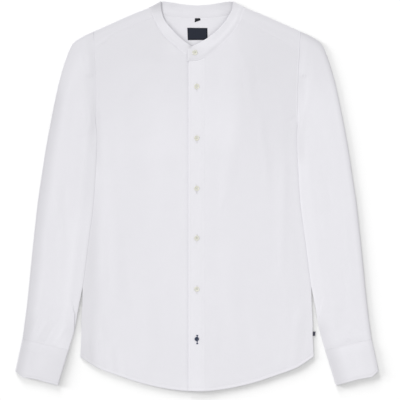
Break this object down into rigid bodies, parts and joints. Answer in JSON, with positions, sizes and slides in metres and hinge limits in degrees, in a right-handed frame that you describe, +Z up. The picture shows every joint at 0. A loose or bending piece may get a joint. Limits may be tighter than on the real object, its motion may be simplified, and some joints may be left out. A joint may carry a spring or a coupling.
{
  "type": "mandarin collar shirt",
  "caption": "Long-sleeved white shirt with a band collar and a full button placket, fastened and laid out flat with its front up.",
  "frame": {"origin": "on the surface that the shirt lies on, under the middle of its outline", "axes": "+X to the wearer's left, +Y from the hem to the collar, +Z up, out of the front of the shirt"},
  "size_m": [0.7258, 0.7794, 0.0071],
  "materials": {
    "shirt_cloth": "fine plain-woven white cotton, matt, pressed",
    "ivory_button": "ivory button resin, satin, four holes",
    "navy_button": "navy button resin, satin, four holes",
    "label_cloth": "damask-woven dark navy ribbon, left bare",
    "tab_cloth": "black woven tape, left bare",
    "tag_cloth": "navy woven ribbon folded double, left bare"
  },
  "bodies": {
    "root": {"back": "shirt_cloth", "yoke": "shirt_cloth", "front_right": "shirt_cloth", "front_left": "shirt_cloth", "placket": "shirt_cloth", "collar_band": "shirt_cloth", "sleeve_right": "shirt_cloth", "sleeve_left": "shirt_cloth", "cuff_right": "shirt_cloth", "cuff_left": "shirt_cloth", "collar_button": "ivory_button", "front_button_1": "ivory_button", "front_button_2": "ivory_button", "front_button_3": "ivory_button", "front_button_4": "ivory_button", "front_button_5": "ivory_button", "front_button_6": "navy_button", "neck_label": "label_cloth", "size_tab": "tab_cloth", "side_tag": "tag_cloth"}
  },
  "joints": []
}
